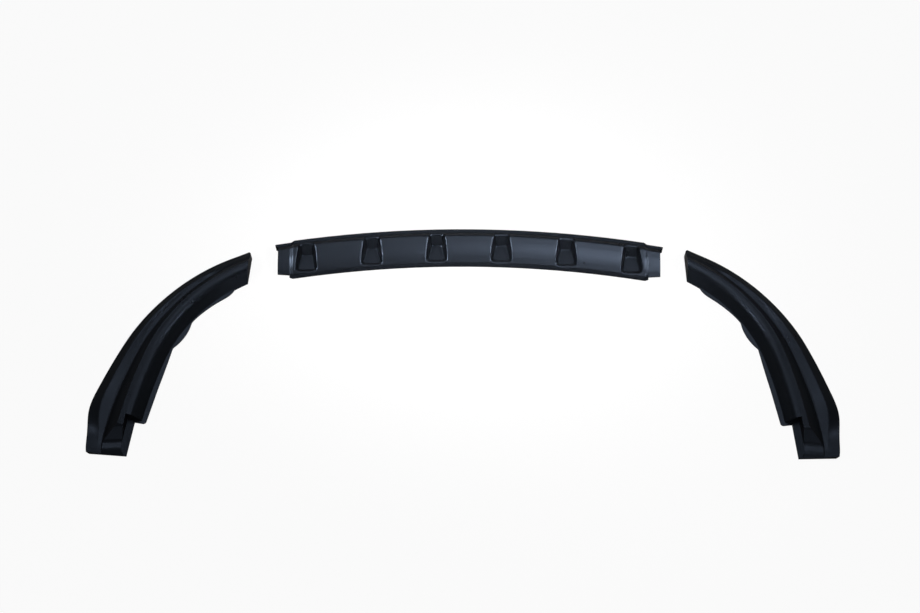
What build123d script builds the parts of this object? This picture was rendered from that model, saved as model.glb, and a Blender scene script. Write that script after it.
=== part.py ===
from build123d import *
from math import asin, degrees, exp, log, sqrt
import os

os.makedirs("parts", exist_ok=True)

# Moulded sheet
wall = 3.0
least_radius = 0.4
skirt = 12.0
flange_thickness = 3.0

# Centre section, plan
bow_radius = 2560.0
centre_length = 844.0
joggle_run = 9.0
joggle_steps = 4
tab_inset = 3.5
tab_length = 28.0
tab_depth = 79.5
beak_length = 9.0
beak_depth = 8.5
beak_corner_radius = 11.0

# Centre section, cross-section from the leading edge back
nose_lean = 3.0
nose_height = 24.0
nose_radius = 2.0
bevel_depth = 5.0
bevel_rise = 4.5
bevel_radius = 3.0
blade_depth = 8.5
blade_rise = 0.5
blade_root_radius = 6.0
rise_depth = 12.0
rise_height = 8.0
crest_radius = 6.0
shoulder_depth = 32.0
shoulder_drop = 11.0
shoulder_radius = 180.0
panel_depth = 31.0
panel_drop = 18.0
panel_roll_radius = 14.0
rear_wall_lean = 3.5

# Pockets in the centre section
pocket_count = 6
pocket_end_margin = 31.5
pocket_floor = 6.0
pocket_front_depth = 35.5
pocket_length = 41.0
pocket_front_width = 26.0
pocket_rear_width = 42.0
pocket_front_draft = 0.65
pocket_rear_draft = 1.1
pocket_side_draft_front = 0.1
pocket_side_draft_rear = 0.7
pocket_corner_radius = 7.0
pocket_floor_radius = 4.0
pocket_mouth_radius = 5.2

# Corner, plan: the crease line from the inner end to the tail
inner_run = 32.0
main_bend_radius = 385.0
main_bend_turn = 44.0
rear_bend_radius = 1150.0
rear_bend_turn = 8.5
corner_length = 577.0
end_slant = 32.0
end_lead = 6.0
end_corner_radius = 12.0
tail_slant = 5.0
end_allowance = 40.0
tail_allowance = 34.0
station_margin = 2.0
station_count = 22

# Corner, cross-section: reaches out from the crease at the inner end and where the fin starts
fin_at = 475.0
edge_reach_inner = 35.0
edge_reach_fin = 85.0
edge_flare = 0.3
fin_toe_in = 0.24
bevel_width_inner = 17.0
bevel_width_fin = 28.0
valley_reach_inner = 9.0
valley_reach_fin = 30.0
valley_clearance = 7.0
kink_softness = 2.5
plate_width_inner = 15.0
plate_width_fin = 22.0
inner_wall_lean = 22.0
edge_lean = 6.0

# Corner, cross-section: heights
crease_height = 37.0
plate_drop = 3.0
edge_height_inner = 16.0
edge_height_mid = 11.0
ridge_height = 27.5
valley_height = 18.0
valley_start = 0.8
fin_height = 15.0
fin_base_height = 9.0
tail_valley_height = 7.0
valley_fade = 230.0
fin_rise_from = 430.0
fin_rise_to = 570.0

# Corner, edge radii
edge_radius = 2.0
ridge_radius = 5.0
valley_radius = 8.0
tail_valley_radius = 3.0
crease_radius = 2.5
plate_roll_radius = 25.0

# Corner, lowered rear tab
hump_length = 515.0
hump_end_run = 30.0
hump_end_radius = 18.0
hump_end_lead = 25.0
tab_floor = 10.0
tab_end_run = 14.0
tab_end_slope = 0.42
tab_end_radius = 25.0
tab_floor_radius = 14.0
tab_slant = 12.0
tab_fin_reach = 38.0
tab_notch = 23.0
tab_edge_reach = 32.0
tab_edge_toe = 9.0
tab_side_lean = 15.0

# Corner, scalloped foot flange: distances along the crease and reaches inward from it
flange_start = 52.0
flange_start_reach = 36.0
first_shoulder = 68.0
first_shoulder_reach = 43.0
first_ear = 105.0
first_ear_reach = 43.8
first_slope = 155.0
first_slope_reach = 40.8
first_gap = 198.0
first_gap_reach = 40.0
second_ear = 240.0
second_ear_reach = 50.0
second_gap = 284.0
second_gap_reach = 42.0
long_ear = 400.0
long_ear_reach = 52.0
long_ear_swell = 2.5
flange_root_reach = 15.0
flange_corner_radius = 7.0
flange_gap_radius = 9.0

# Layout on the floor: places of the corners' crease ends from the middle of the leading edge
left_place = (-532.2, -102.4)
left_turn = 28.5
right_place = (527.4, -89.1)
right_turn = 31.0


def inset_corners(corners, inset):
    """Moves every side of an anticlockwise outline in by inset; each corner's radius follows."""
    moved = []
    for index, (x, y, radius) in enumerate(corners):
        last_x, last_y, _ = corners[index - 1]
        next_x, next_y, _ = corners[(index + 1) % len(corners)]
        before = Vector(x - last_x, y - last_y).normalized()
        after = Vector(next_x - x, next_y - y).normalized()
        turn = before.X * after.Y - before.Y * after.X
        share = inset / (1 + before.dot(after))
        new_x = x - (before.Y + after.Y) * share
        new_y = y + (before.X + after.X) * share
        if radius > 0:
            radius = max(radius - inset, least_radius) if turn > 0 else radius + inset
        moved.append((new_x, new_y, radius))
    return moved


def outline_sketch(plane, corners):
    """The closed outline through the corners on a plane, each corner rounded by its own radius."""
    points = [(x, y) for x, y, _ in corners]
    radii = [radius for _, _, radius in corners]
    with BuildSketch(plane) as outline:
        with BuildLine():
            FilletPolyline(points, radius=radii, close=True)
        make_face()
    return outline.sketch


def ease(share):
    """A smooth step from 0 to 1."""
    share = min(max(share, 0), 1)
    return share * share * (3 - 2 * share)


# Centre section: drawn about the centre of its bow, with the leading edge at bow_radius
crest_depth = bevel_depth + blade_depth + rise_depth
crest_height = nose_height + bevel_rise + blade_rise + rise_height
shoulder_end_depth = crest_depth + shoulder_depth
shoulder_end_height = crest_height - shoulder_drop
panel_end_depth = shoulder_end_depth + panel_depth
panel_end_height = shoulder_end_height - panel_drop
foot_depth = panel_end_depth + rear_wall_lean
skirt_share = (panel_end_height + skirt) / panel_end_height
main_end = centre_length / 2
tab_start = main_end + joggle_run
tab_end = tab_start + tab_length
beak_end = tab_end + beak_length


def centre_profile(turn, inset):
    """The centre's cross-section on an upright plane through the bow's axis, every face moved in by inset."""
    front_to_back = [
        (nose_lean, -skirt, 0),
        (0, nose_height, nose_radius),
        (bevel_depth, nose_height + bevel_rise, bevel_radius),
        (bevel_depth + blade_depth, nose_height + bevel_rise + blade_rise, blade_root_radius),
        (crest_depth, crest_height, crest_radius),
        (shoulder_end_depth, shoulder_end_height, shoulder_radius),
        (panel_end_depth, panel_end_height, panel_roll_radius),
        (panel_end_depth + rear_wall_lean * skirt_share, -skirt, 0),
    ]
    corners = [(bow_radius - depth, height, radius) for depth, height, radius in front_to_back]
    return outline_sketch(Plane.YZ.rotated((0, 0, turn)), inset_corners(corners, inset))


def bowed_run(inset, start, end):
    """A run of the centre's section round the bow, cut square to the car at start and end."""
    reach = degrees(asin(max(abs(start), abs(end)) / (bow_radius - foot_depth - skirt)))
    with BuildPart() as run:
        revolve(centre_profile(-reach, inset), axis=Axis.Z, revolution_arc=2 * reach)
        split(bisect_by=Plane.YZ.offset(start), keep=Keep.TOP)
        split(bisect_by=Plane.YZ.offset(end), keep=Keep.BOTTOM)
    return run.part


def joggle_faces(inset, side):
    """Cross-sections of the step down from the main run to an end tab, easing in and out."""
    faces = []
    for step in range(joggle_steps + 1):
        share = step / joggle_steps
        across = main_end + joggle_run * share
        ends = sorted((side * across, side * (across + joggle_run)))
        run = bowed_run(inset + tab_inset * ease(share), *ends)
        faces.append(run.faces().sort_by(Axis.X, reverse=side < 0)[0])
    return faces


def centre_body(inset, end):
    """Main run, joggles and end tabs as one solid, every face moved in by inset."""
    with BuildPart() as body:
        loft(joggle_faces(inset, -1))
        loft(joggle_faces(inset, 1))
        add(bowed_run(inset, -main_end, main_end))
        add(bowed_run(inset + tab_inset, -end, -tab_start))
        add(bowed_run(inset + tab_inset, tab_start, end))
    return body.part


def pocket_tool(grow):
    """Recess tool at the bow's middle, every face moved out by grow."""
    rise = 2 * crest_height
    with BuildPart() as tool:
        for height in (0, rise):
            front = bow_radius - pocket_front_depth + grow + height * pocket_front_draft
            back = bow_radius - pocket_front_depth - pocket_length - grow - height * pocket_rear_draft
            front_half = pocket_front_width / 2 + grow + height * pocket_side_draft_front
            back_half = pocket_rear_width / 2 + grow + height * pocket_side_draft_rear
            corners = [(front_half, front), (-front_half, front), (-back_half, back), (back_half, back)]
            with BuildSketch(Plane.XY.offset(pocket_floor - grow + height)) as mouth:
                with BuildLine():
                    Polyline(corners, close=True)
                make_face()
                fillet(mouth.vertices(), pocket_corner_radius + grow)
        loft(ruled=True)
        fillet(tool.faces().sort_by(Axis.Z)[0].edges(), pocket_floor_radius)
    return tool.part


def pocket_place(index):
    """Place of a pocket in the row, following the bow."""
    pitch = (centre_length - 2 * pocket_end_margin) / (pocket_count - 1)
    across = (index - (pocket_count - 1) / 2) * pitch
    return (across, sqrt(bow_radius**2 - across**2) - bow_radius)


def skin_height(depth):
    """Height of the centre's rise, panel and rear wall at a depth behind the leading edge."""
    if depth < crest_depth:
        return crest_height - (crest_depth - depth) * rise_height / rise_depth
    if depth < shoulder_end_depth:
        return crest_height - (depth - crest_depth) * shoulder_drop / shoulder_depth
    if depth < panel_end_depth:
        return shoulder_end_height - (depth - shoulder_end_depth) * panel_drop / panel_depth
    return panel_end_height * (foot_depth - depth) / rear_wall_lean


def on_skin(edge):
    """Whether an edge runs along the skin, as the pocket mouths do."""
    for share in (0.1, 0.5, 0.9):
        point = edge @ share
        depth = bow_radius - Vector(point.X, point.Y).length
        if abs(point.Z - skin_height(depth)) > wall:
            return False
    return edge.geom_type != GeomType.CIRCLE


def end_tool(side):
    """Trims an end tab's rear edge square and its web back to a beak; side is -1 on the left, 1 on the right."""
    lead = sqrt(bow_radius**2 - tab_end**2)
    with BuildPart() as tool:
        with BuildSketch(Plane.XY.offset(-2 * skirt)):
            with Locations((side * (tab_end + 2 * beak_length), lead - beak_depth - foot_depth)):
                RectangleRounded(4 * beak_length, 2 * foot_depth, beak_corner_radius)
            with Locations((side * (tab_start + tab_length), lead - tab_depth - foot_depth)):
                Rectangle(2 * tab_length, 2 * foot_depth)
        extrude(amount=2 * skirt + 2 * crest_height)
    return tool.part


pocket_places = [pocket_place(index) for index in range(pocket_count)]

with BuildPart() as centre_core:
    add(centre_body(wall, beak_end + skirt))
    with Locations(pocket_places):
        add(pocket_tool(wall), mode=Mode.SUBTRACT)

with BuildPart() as centre_shell:
    add(centre_body(0, beak_end))
    with Locations(pocket_places):
        add(pocket_tool(0), mode=Mode.SUBTRACT)
    mouths = centre_shell.edges(Select.LAST).filter_by(on_skin).sort_by(SortBy.LENGTH, reverse=True)
    fillet(mouths, pocket_mouth_radius)
    add(centre_core.part, mode=Mode.SUBTRACT)
    add([end_tool(-1), end_tool(1)], mode=Mode.SUBTRACT)
    split(bisect_by=Plane.XY, keep=Keep.TOP)


# Corner: drawn as the left one, with the crease's inner end at the origin, heading outward along -X


def blend(start, end, share):
    """The value a share of the way from start to end."""
    return start + (end - start) * share


def soft_min(first, second, softness):
    """The smaller of two values, with the change-over rounded."""
    return -softness * log(exp(-first / softness) + exp(-second / softness))


with BuildLine() as crease:
    entry = Line((end_allowance, 0), (-inner_run, 0))
    main_bend = JernArc(entry @ 1, entry % 1, main_bend_radius, main_bend_turn)
    rear_bend = JernArc(main_bend @ 1, main_bend % 1, rear_bend_radius, rear_bend_turn)
    bent_length = inner_run + main_bend.length + rear_bend.length
    Line(rear_bend @ 1, rear_bend @ 1 + (rear_bend % 1) * (corner_length + tail_allowance - bent_length))
crease_wire = crease.wire()


def crease_plane(distance):
    """Upright plane square to the crease at a distance from its inner end; local x points outward, y up."""
    here = crease_wire.position_at(distance + end_allowance, PositionMode.LENGTH)
    heading = crease_wire.tangent_at(distance + end_allowance, PositionMode.LENGTH)
    return Plane(here, x_dir=(heading.Y, -heading.X, 0), z_dir=-heading)


def corner_profile(distance, inset):
    """The corner's cross-section at a distance along the crease, every face moved in by inset."""
    share = distance / fin_at
    fade = ease(distance / valley_fade)
    fin = ease((distance - fin_rise_from) / (fin_rise_to - fin_rise_from))
    flared_share = blend(share, share * share, edge_flare)
    growing_edge = blend(edge_reach_inner, edge_reach_fin, flared_share)
    closing_edge = edge_reach_fin - (distance - fin_at) * fin_toe_in
    edge = soft_min(growing_edge, closing_edge, kink_softness)
    ridge = edge - blend(bevel_width_inner, bevel_width_fin, min(share, 1))
    valley = soft_min(blend(valley_reach_inner, valley_reach_fin, share), ridge - valley_clearance, kink_softness)
    plate = blend(plate_width_inner, plate_width_fin, min(share, 1))
    edge_height = blend(blend(edge_height_inner, edge_height_mid, fade), fin_height, fin)
    slope = (crease_height - edge_height) / edge
    straight_ridge = crease_height - ridge * slope
    straight_valley = crease_height - valley * slope - valley_start
    ridge_top = blend(blend(straight_ridge, ridge_height, fade), fin_base_height, fin)
    valley_bottom = blend(blend(straight_valley, valley_height, fade), tail_valley_height, fin)
    plate_edge = crease_height - plate_drop
    foot_lean = inner_wall_lean * (plate_edge + skirt) / plate_edge
    edge_foot_lean = edge_lean * (edge_height + skirt) / edge_height
    corners = [
        (edge - edge_foot_lean, -skirt, 0),
        (edge, edge_height, edge_radius),
        (ridge, ridge_top, ridge_radius),
        (valley, valley_bottom, blend(valley_radius, tail_valley_radius, fin)),
        (0, crease_height, crease_radius),
        (-plate, plate_edge, plate_roll_radius),
        (-plate - foot_lean, -skirt, 0),
    ]
    return outline_sketch(crease_plane(distance), inset_corners(corners, inset))


def tail_frame(distance, slant):
    """Frame at the crease's tail, turned by slant: x runs rearward, y inward, z up."""
    plane = crease_plane(distance)
    rearward = (-plane.z_dir).rotate(Axis.Z, slant)
    return Plane(plane.origin, x_dir=rearward, z_dir=(0, 0, 1))


def tab_tool(grow):
    """Removes the hump's tail end above the lowered tab, every face moved out by grow."""
    frame = tail_frame(hump_length, tab_slant)
    reach = 4 * plate_width_fin
    far = 2 * corner_length
    tab_flat_end = corner_length - hump_length - tab_end_run
    corners = [
        (-hump_end_lead, 2 * crease_height, 0),
        (-hump_end_lead, crease_height + least_radius, 0),
        (0, crease_height, hump_end_radius),
        (hump_end_run, tab_floor, tab_floor_radius),
        (tab_flat_end, tab_floor, tab_end_radius),
        (far, tab_floor - (far - tab_flat_end) * tab_end_slope, 0),
        (far, 2 * crease_height, 0),
    ]
    side = Plane(frame.from_local_coords((0, reach, 0)), x_dir=frame.x_dir, z_dir=-frame.y_dir)
    with BuildPart() as tool:
        extrude(outline_sketch(side, inset_corners(corners, -grow)), amount=reach + tab_fin_reach + grow)
    return tool.part


def notch_tool(grow):
    """Removes what lies inward of the tab's sloping inner side, every face moved out by grow."""
    frame = tail_frame(hump_length, tab_slant)
    edge_heading = frame.x_dir.rotate(Axis.Z, -tab_edge_toe)
    start = frame.from_local_coords((-tab_notch - grow, tab_edge_reach - grow, 0))
    inward = Vector(0, 0, 1).cross(edge_heading)
    far = 2 * corner_length
    with BuildPart() as tool:
        with BuildSketch(Plane(start, x_dir=inward, z_dir=edge_heading)):
            with BuildLine():
                Polyline(
                    [
                        (tab_side_lean * skirt / tab_floor, -skirt),
                        (far, -skirt),
                        (far, 2 * crease_height),
                        (-tab_side_lean, 2 * crease_height),
                        (-tab_side_lean, tab_floor),
                    ],
                    close=True,
                )
            make_face()
        extrude(amount=far)
    return tool.part


def end_block(inset):
    """Block kept at the inner end: cut along the slant, its outer corner rounded in plan, moved in by inset."""
    far = 2 * corner_length
    along_cut = Vector(0, 1).rotate(Axis.Z, -end_slant)
    outer_corner = along_cut * (edge_reach_inner / along_cut.Y)
    corners = [
        (end_lead - along_cut.X * far, -along_cut.Y * far, 0),
        (end_lead + outer_corner.X, outer_corner.Y, end_corner_radius),
        (-far, far / 4, 0),
        (-far, -far, 0),
    ]
    with BuildPart() as block:
        extrude(outline_sketch(Plane.XY.offset(-2 * skirt), inset_corners(corners, inset)), amount=far)
    return block.part


def corner_body(inset):
    """The corner as a solid, every face moved in by inset."""
    first = -end_allowance + station_margin
    last = corner_length + tail_allowance - station_margin
    gap = (last - first) / (station_count - 1)
    tail_end = tail_frame(corner_length, tail_slant)
    tail_cut = Plane(tail_end.origin, x_dir=tail_end.y_dir, z_dir=tail_end.x_dir).offset(-inset)
    with BuildPart() as body:
        loft([corner_profile(first + gap * index, inset) for index in range(station_count)])
        add(tab_tool(inset), mode=Mode.SUBTRACT)
        add(notch_tool(inset), mode=Mode.SUBTRACT)
        add(end_block(inset), mode=Mode.INTERSECT)
        split(bisect_by=tail_cut, keep=Keep.BOTTOM)
    return body.part


def floor_point(distance, reach):
    """The floor point at a distance along the crease and a reach inward from it."""
    return crease_plane(distance).from_local_coords((-reach, 0, 0))


with BuildPart() as corner_shell:
    add(corner_body(0))
    with BuildSketch() as scallops:
        with BuildLine():
            root = ThreePointArc(
                floor_point(flange_start, flange_root_reach),
                floor_point(second_ear, flange_root_reach),
                floor_point(hump_length - tab_notch, flange_root_reach),
            )
            ear_one = Spline(
                floor_point(flange_start, flange_start_reach),
                floor_point(first_shoulder, first_shoulder_reach),
                floor_point(first_ear, first_ear_reach),
                floor_point(first_slope, first_slope_reach),
                floor_point(first_gap, first_gap_reach),
            )
            ear_two = ThreePointArc(
                ear_one @ 1,
                floor_point(second_ear, second_ear_reach),
                floor_point(second_gap, second_gap_reach),
            )
            long_rise = ThreePointArc(
                ear_two @ 1,
                floor_point((second_gap + long_ear) / 2, (second_gap_reach + long_ear_reach) / 2 + long_ear_swell),
                floor_point(long_ear, long_ear_reach),
            )
            Polyline(long_rise @ 1, floor_point(hump_length - tab_notch, long_ear_reach), root @ 1)
            Line(root @ 0, ear_one @ 0)
        make_face()
        for gap in (ear_one @ 1, ear_two @ 1):
            fillet(scallops.vertices().sort_by_distance(gap)[0], flange_gap_radius)
        rear_corner = floor_point(hump_length - tab_notch, long_ear_reach)
        fillet(scallops.vertices().sort_by_distance(rear_corner)[0], flange_corner_radius)
    extrude(amount=flange_thickness)
    add(corner_body(wall), mode=Mode.SUBTRACT)
    split(bisect_by=Plane.XY, keep=Keep.TOP)

with BuildPart() as mirrored_shell:
    mirror(corner_shell.part, about=Plane.YZ)

# Layout: the three sections on the floor, centred on their common box
centre_laid = Location((0, -bow_radius, 0))
left_laid = Location((*left_place, 0), (0, 0, left_turn))
right_laid = Location((*right_place, 0), (0, 0, -right_turn))
boxes = [
    (centre_laid * centre_shell.part).bounding_box(),
    (left_laid * corner_shell.part).bounding_box(),
    (right_laid * mirrored_shell.part).bounding_box(),
]
middle_x = (min(box.min.X for box in boxes) + max(box.max.X for box in boxes)) / 2
middle_y = (min(box.min.Y for box in boxes) + max(box.max.Y for box in boxes)) / 2
to_middle = Location((-middle_x, -middle_y, 0))

with BuildPart() as centre_section:
    with Locations(to_middle * centre_laid):
        add(centre_shell.part)

with BuildPart() as left_corner:
    with Locations(to_middle * left_laid):
        add(corner_shell.part)

with BuildPart() as right_corner:
    with Locations(to_middle * right_laid):
        add(mirrored_shell.part)

centre_section.part.label = "centre_section"
left_corner.part.label = "left_corner"
right_corner.part.label = "right_corner"
export_step(centre_section.part, "parts/centre_section.step")
export_step(left_corner.part, "parts/left_corner.step")
export_step(right_corner.part, "parts/right_corner.step")
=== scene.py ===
import math

import bpy
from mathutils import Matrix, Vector

# Camera: where it looks, how far back it stands, and its turn from straight behind
look_at = Vector((-0.0099, 0.0924, 0.0))
camera_distance = 3.036
camera_elevation = math.radians(62.0)
camera_turn = math.radians(0.39)
camera_lens = 50.0

# Floor and sky: white where the camera sees them, dimmer where they light the plastic
floor_size = 14.0
floor_drop = 0.0004
floor_colour = (0.94, 0.94, 0.94, 1.0)
floor_bounce = (0.15, 0.15, 0.15, 1.0)
floor_glow = 0.93
sky_strength = 0.10
seen_white = (1.0, 1.0, 1.0, 1.0)
seen_strength = 1.0

# What the lights share; sizes are in metres and powers in watts
light_target = (0.0, 0.15, 0.0)
light_colour = (1.0, 1.0, 1.0)
open_spread = math.pi

# Key light: a narrow beam for the right of the centre section's panel
key_place = (0.55, -0.50, 2.2)
key_size = (0.60, 0.95)
key_power = 1.02
key_spread = math.radians(36.0)
key_target = (0.30, 0.22, 0.02)

# Fill light: for the left and the middle of the panel
fill_place = (-0.285, -0.50, 2.2)
fill_size = (1.07, 0.95)
fill_power = 3.6

# Band light: for the sunk bands of the corners
band_place = (0.0, 0.27, 2.2)
band_size = (1.2, 0.24)
band_power = 3.2

# Strip light: on the far side, for the floors of the pockets
strip_place = (0.0, 1.80, 2.6)
strip_size = (5.0, 0.7)
strip_power = 12.0
strip_colour = (0.93, 0.96, 1.0)

# Front light: low on the camera's side, for the steep walls that face it
front_place = (0.0, -3.5, 1.0)
front_size = (6.0, 1.6)
front_power = 15.0

# Tail lights: a pair for the lowered tabs of the corners
tail_place = (1.36, 0.35, 2.2)
tail_size = (0.4, 0.35)
tail_power = 2.2

# Edge lights: a pair for the foot flanges of the corners
edge_place = (1.20, 1.15, 2.2)
edge_size = (0.6, 0.7)
edge_power = 2.5

# Rim lights: a pair of narrow beams for the rims of the pockets
rim_place = (1.90, -0.30, 2.0)
rim_size = (0.5, 0.5)
rim_power = 1.6
rim_spread = math.radians(20.0)
rim_target = (0.0, 0.24, 0.0)

# Plastic: black and satin, with a faint mottle and a fine grain
plastic_dark = (0.0042, 0.0049, 0.0062, 1.0)
plastic_light = (0.0058, 0.0067, 0.0085, 1.0)
sheen_level = 0.3
sheen_tint = (0.57, 0.72, 1.0, 1.0)
roughness_low = 0.27
roughness_high = 0.33
mottle_scale = 14.0
mottle_detail = 4.0
mottle_roughness = 0.55
mottle_low = 0.3
mottle_high = 0.7
grain_scale = 900.0
grain_detail = 2.0
grain_roughness = 0.6
grain_height = 0.00004
grain_strength = 0.35

# Sockets whose names repeat, on a Mix node set to colours, a Mix Shader and a Math node
mix_factor = 0
mix_first = 6
mix_second = 7
mix_result = 2
shader_first = 1
shader_second = 2
math_first = 0
math_second = 1


def empty_tree(owner):
    """Turns on the nodes of a material or world and clears them."""
    owner.use_nodes = True
    owner.node_tree.nodes.clear()
    return owner.node_tree


def new_node(tree, kind, inputs):
    """Adds a shader node and sets its named inputs."""
    node = tree.nodes.new(kind)
    for name, value in inputs.items():
        node.inputs[name].default_value = value
    return node


def colour_mix(tree, first, second):
    """Adds a node that mixes two colours."""
    node = tree.nodes.new("ShaderNodeMix")
    node.data_type = "RGBA"
    node.inputs[mix_first].default_value = first
    node.inputs[mix_second].default_value = second
    return node


def satin_plastic():
    """Black moulded plastic: a fine grain in relief, and a faint mottle in colour and gloss."""
    material = bpy.data.materials.new("lip_plastic")
    tree = empty_tree(material)
    link = tree.links.new
    output = tree.nodes.new("ShaderNodeOutputMaterial")
    shader = new_node(
        tree,
        "ShaderNodeBsdfPrincipled",
        {"Specular IOR Level": sheen_level, "Specular Tint": sheen_tint},
    )
    place = tree.nodes.new("ShaderNodeTexCoord")
    mottle = new_node(
        tree,
        "ShaderNodeTexNoise",
        {"Scale": mottle_scale, "Detail": mottle_detail, "Roughness": mottle_roughness},
    )
    grain = new_node(
        tree,
        "ShaderNodeTexNoise",
        {"Scale": grain_scale, "Detail": grain_detail, "Roughness": grain_roughness},
    )
    colour = colour_mix(tree, plastic_dark, plastic_light)
    gloss = new_node(
        tree,
        "ShaderNodeMapRange",
        {
            "From Min": mottle_low,
            "From Max": mottle_high,
            "To Min": roughness_low,
            "To Max": roughness_high,
        },
    )
    relief = new_node(tree, "ShaderNodeBump", {"Strength": grain_strength, "Distance": grain_height})
    link(place.outputs["Object"], mottle.inputs["Vector"])
    link(place.outputs["Object"], grain.inputs["Vector"])
    link(mottle.outputs["Fac"], colour.inputs[mix_factor])
    link(colour.outputs[mix_result], shader.inputs["Base Color"])
    link(mottle.outputs["Fac"], gloss.inputs["Value"])
    link(gloss.outputs["Result"], shader.inputs["Roughness"])
    link(grain.outputs["Fac"], relief.inputs["Height"])
    link(relief.outputs["Normal"], shader.inputs["Normal"])
    link(shader.outputs["BSDF"], output.inputs["Surface"])
    return material


def floor_paper():
    """Paper that keeps the shadow: white to the camera, and greyer where it lights the plastic."""
    material = bpy.data.materials.new("floor_paper")
    tree = empty_tree(material)
    link = tree.links.new
    output = tree.nodes.new("ShaderNodeOutputMaterial")
    paper = tree.nodes.new("ShaderNodeBsdfDiffuse")
    tone = colour_mix(tree, floor_bounce, floor_colour)
    glow = new_node(tree, "ShaderNodeEmission", {"Color": seen_white, "Strength": seen_strength})
    rays = tree.nodes.new("ShaderNodeLightPath")
    share = tree.nodes.new("ShaderNodeMath")
    share.operation = "MULTIPLY"
    share.inputs[math_second].default_value = floor_glow
    mix = tree.nodes.new("ShaderNodeMixShader")
    link(rays.outputs["Is Camera Ray"], tone.inputs[mix_factor])
    link(tone.outputs[mix_result], paper.inputs["Color"])
    link(rays.outputs["Is Camera Ray"], share.inputs[math_first])
    link(share.outputs["Value"], mix.inputs["Fac"])
    link(paper.outputs["BSDF"], mix.inputs[shader_first])
    link(glow.outputs["Emission"], mix.inputs[shader_second])
    link(mix.outputs["Shader"], output.inputs["Surface"])
    return material


def lay_floor():
    """The floor that the sections lie on, a hair below them."""
    bpy.ops.mesh.primitive_plane_add(size=floor_size, location=(0.0, 0.0, -floor_drop))
    floor = bpy.context.object
    floor.name = "floor"
    floor.data.materials.append(floor_paper())


def soft_light(name, place, size, power, colour=light_colour, target=light_target, spread=open_spread):
    """A rectangular soft light aimed at a target, as wide open as its spread."""
    data = bpy.data.lights.new(name, "AREA")
    data.shape = "RECTANGLE"
    data.size = size[0]
    data.size_y = size[1]
    data.energy = power
    data.color = colour
    data.spread = spread
    lamp = bpy.data.objects.new(name, data)
    lamp.location = place
    lamp.rotation_euler = (Vector(target) - Vector(place)).to_track_quat("-Z", "Y").to_euler()
    bpy.context.scene.collection.objects.link(lamp)


def on_side(place, side):
    """A place on the right when side is 1, and mirrored to the left when it is -1."""
    return (side * place[0], place[1], place[2])


def light_studio():
    """All the soft lights round the part."""
    soft_light("key", key_place, key_size, key_power, target=key_target, spread=key_spread)
    soft_light("fill", fill_place, fill_size, fill_power)
    soft_light("strip", strip_place, strip_size, strip_power, colour=strip_colour)
    soft_light("front", front_place, front_size, front_power)
    soft_light("band", band_place, band_size, band_power)
    for side in (-1, 1):
        soft_light("tail", on_side(tail_place, side), tail_size, tail_power)
        soft_light("edge", on_side(edge_place, side), edge_size, edge_power)
        rim_side = on_side(rim_place, side)
        soft_light("rim", rim_side, rim_size, rim_power, target=rim_target, spread=rim_spread)


def studio_sky():
    """A faint white sky, at full white where the camera sees it."""
    world = bpy.data.worlds.new("studio")
    bpy.context.scene.world = world
    tree = empty_tree(world)
    link = tree.links.new
    output = tree.nodes.new("ShaderNodeOutputWorld")
    faint = new_node(tree, "ShaderNodeBackground", {"Color": seen_white, "Strength": sky_strength})
    seen = new_node(tree, "ShaderNodeBackground", {"Color": seen_white, "Strength": seen_strength})
    rays = tree.nodes.new("ShaderNodeLightPath")
    mix = tree.nodes.new("ShaderNodeMixShader")
    link(rays.outputs["Is Camera Ray"], mix.inputs["Fac"])
    link(faint.outputs["Background"], mix.inputs[shader_first])
    link(seen.outputs["Background"], mix.inputs[shader_second])
    link(mix.outputs["Shader"], output.inputs["Surface"])


def stand_camera():
    """The camera, set back from the point that it looks at."""
    flat_reach = camera_distance * math.cos(camera_elevation)
    offset = Vector(
        (
            math.sin(camera_turn) * flat_reach,
            -math.cos(camera_turn) * flat_reach,
            camera_distance * math.sin(camera_elevation),
        )
    )
    data = bpy.data.cameras.new("camera")
    data.lens = camera_lens
    camera = bpy.data.objects.new("camera", data)
    camera.location = look_at + offset
    camera.rotation_euler = (-offset).to_track_quat("-Z", "Y").to_euler()
    bpy.context.scene.collection.objects.link(camera)
    bpy.context.scene.camera = camera


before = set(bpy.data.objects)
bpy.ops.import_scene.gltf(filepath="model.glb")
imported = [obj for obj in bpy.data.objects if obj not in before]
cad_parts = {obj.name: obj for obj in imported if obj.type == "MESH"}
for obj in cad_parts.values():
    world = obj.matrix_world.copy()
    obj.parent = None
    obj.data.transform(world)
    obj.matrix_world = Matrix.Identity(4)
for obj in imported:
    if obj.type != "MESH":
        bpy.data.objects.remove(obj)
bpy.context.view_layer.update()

plastic = satin_plastic()
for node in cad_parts.values():
    for slot in node.material_slots:
        slot.material = plastic

lay_floor()
light_studio()
studio_sky()
stand_camera()
bpy.context.scene.view_settings.view_transform = "Standard"
